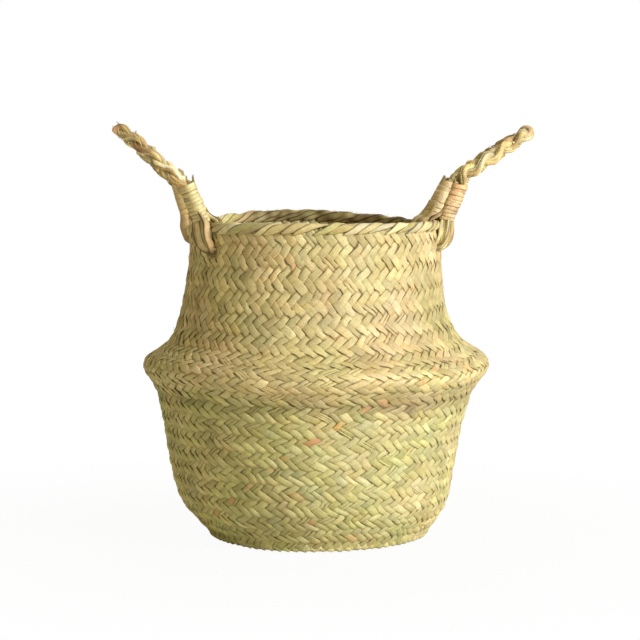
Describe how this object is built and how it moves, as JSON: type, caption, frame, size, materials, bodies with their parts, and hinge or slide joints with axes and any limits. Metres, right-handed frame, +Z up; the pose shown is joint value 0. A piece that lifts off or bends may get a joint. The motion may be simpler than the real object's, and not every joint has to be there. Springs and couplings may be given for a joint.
{
  "type": "plaited belly basket",
  "caption": "Hand-plaited straw belly basket with a pinched middle, a folded rim and plaited rope handles that swing, used as a holder for a plant pot or for small things.",
  "frame": {"origin": "middle of the flat base, on the ground", "axes": "+Z up through the mouth, +X toward the handle that leans out more, -Y is the front"},
  "size_m": [0.2492, 0.2032, 0.2448],
  "materials": {
    "woven_straw": "matt dried leaf strips in pale straw yellow with green and rust flecks",
    "rope_straw": "matt twisted dry leaf, plaited",
    "wrap_straw": "smooth satin leaf strip, wound"
  },
  "bodies": {
    "basket": {"woven_base": "woven_straw", "woven_base_edge": "woven_straw", "woven_foot": "woven_straw", "woven_lower_wall": "woven_straw", "woven_belly_underside": "woven_straw", "woven_belly_top": "woven_straw", "woven_shoulder": "woven_straw", "woven_neck": "woven_straw", "rim_border": "woven_straw", "left_front_rope_eye": "rope_straw", "left_back_rope_eye": "rope_straw", "right_front_rope_eye": "rope_straw", "right_back_rope_eye": "rope_straw", "left_front_whipping": "wrap_straw", "left_back_whipping": "wrap_straw", "right_front_whipping": "wrap_straw", "right_back_whipping": "wrap_straw"},
    "left_handle": {"left_plait_strand_1": "rope_straw", "left_plait_strand_2": "rope_straw", "left_plait_strand_3": "rope_straw"},
    "right_handle": {"right_plait_strand_1": "rope_straw", "right_plait_strand_2": "rope_straw", "right_plait_strand_3": "rope_straw"}
  },
  "joints": [
    {"name": "left_handle_swing", "type": "hinge", "parent": "basket", "child": "left_handle", "pos_m": [-0.07999, -0.00191, 0.21377], "axis": [0.013, -0.9999, -0.0025], "range_deg": [-115, 50]},
    {"name": "right_handle_swing", "type": "hinge", "parent": "basket", "child": "right_handle", "pos_m": [0.08474, -0.0015, 0.21289], "axis": [0.0948, 0.9951, -0.027], "range_deg": [-115, 48]}
  ]
}
